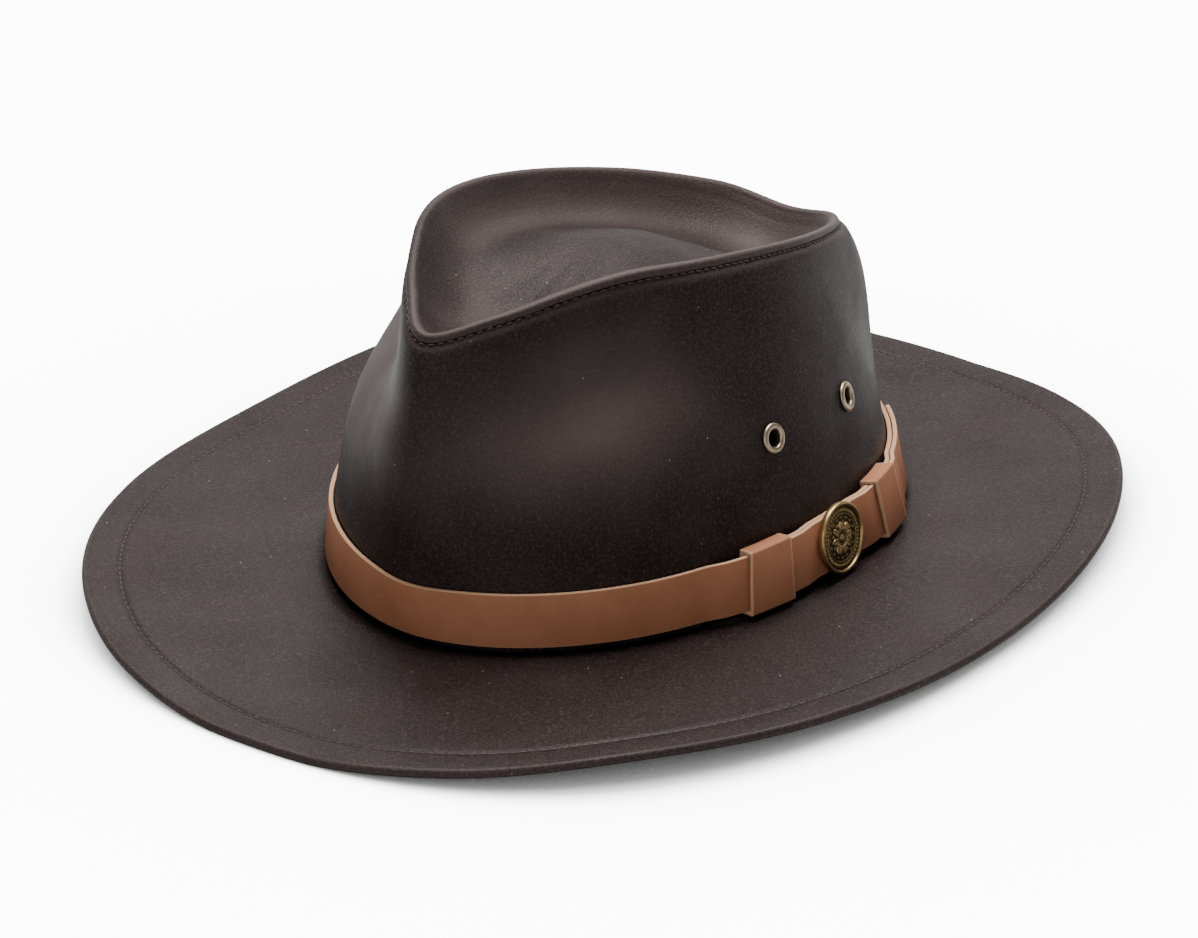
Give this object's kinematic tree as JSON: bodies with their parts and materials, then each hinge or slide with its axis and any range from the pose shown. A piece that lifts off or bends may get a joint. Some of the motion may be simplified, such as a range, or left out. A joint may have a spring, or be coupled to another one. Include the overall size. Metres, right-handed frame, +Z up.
{
  "type": "bush hat",
  "caption": "Waxed cotton bush hat with a pinched crown, wide oval brim, leather band with two keepers and a round badge, and brass vent eyelets, open below for the head",
  "frame": {"origin": "on the table under the middle of the brim's outline", "axes": "+Z up, front of the hat at -Y, wearer's left at +X"},
  "size_m": [0.3036, 0.3644, 0.1217],
  "materials": {
    "waxed_cotton": "dark brown waxed cotton with a faint sheen",
    "strap_leather": "brown strap leather with raw cut edges",
    "antique_brass": "antique brass, dark in the recesses"
  },
  "bodies": {
    "root": {"brim": "waxed_cotton", "crown_side": "waxed_cotton", "crown_tip": "waxed_cotton", "hat_band": "strap_leather", "keeper_front": "strap_leather", "keeper_rear": "strap_leather", "badge": "antique_brass", "eyelet_left_front": "antique_brass", "eyelet_left_rear": "antique_brass", "eyelet_right_front": "antique_brass", "eyelet_right_rear": "antique_brass"}
  },
  "joints": []
}
